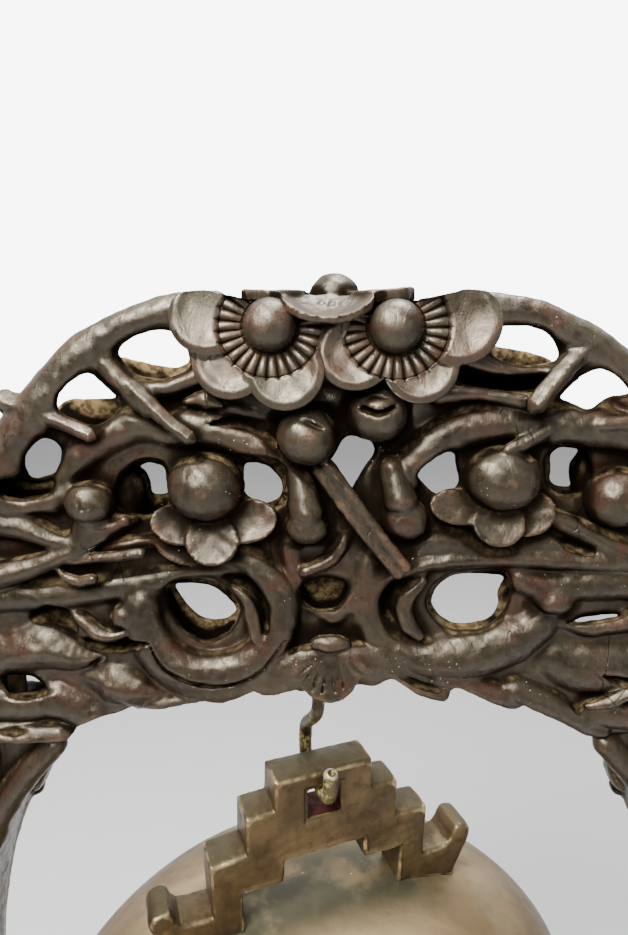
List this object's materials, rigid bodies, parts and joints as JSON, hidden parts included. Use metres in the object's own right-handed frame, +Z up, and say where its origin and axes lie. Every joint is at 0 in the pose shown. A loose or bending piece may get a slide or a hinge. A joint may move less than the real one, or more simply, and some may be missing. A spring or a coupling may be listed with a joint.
{
  "type": "hanging bell on a carved stand",
  "caption": "Oval bronze temple bell with a stepped crest, hung on a bent hook in a dark wooden stand whose arch is carved with plum branches.",
  "frame": {"origin": "centre of the base's footprint, on the surface that the feet stand on", "axes": "+Z up, +X to the right seen from the front, +Y away from the viewer"},
  "size_m": [0.33, 0.18, 0.4746],
  "materials": {
    "carved_wood": "dark stained hardwood, carved, worn satin",
    "polished_wood": "dark stained hardwood, satin",
    "bare_wood": "unstained hardwood",
    "bell_bronze": "cast bronze, brown and olive patina",
    "crest_bronze": "cast bronze, brown patina with worn edges",
    "hook_brass": "bent rod, dull olive tarnish"
  },
  "bodies": {
    "stand": {"crown": "carved_wood", "left_post": "carved_wood", "right_post": "carved_wood", "left_crown_peg": "bare_wood", "right_crown_peg": "bare_wood", "left_tenon_wedge": "bare_wood", "right_tenon_wedge": "bare_wood", "base_board": "polished_wood", "base_waist": "polished_wood", "front_apron": "polished_wood", "back_apron": "polished_wood", "left_apron": "polished_wood", "right_apron": "polished_wood", "front_left_foot": "polished_wood", "front_right_foot": "polished_wood", "back_left_foot": "polished_wood", "back_right_foot": "polished_wood"},
    "hook": {"hook": "hook_brass"},
    "bell": {"bell_shell": "bell_bronze", "bell_crest": "crest_bronze"}
  },
  "joints": [
    {"name": "hook_swivel", "type": "hinge", "parent": "stand", "child": "hook", "pos_m": [-0.0036, 0, 0.36], "axis": [0, 0, 1], "continuous": true},
    {"name": "bell_swing", "type": "hinge", "parent": "hook", "child": "bell", "pos_m": [-0.0036, 0, 0.30885], "axis": [-0.3518, 0.9361, 0], "range_deg": [-5, 5]}
  ]
}
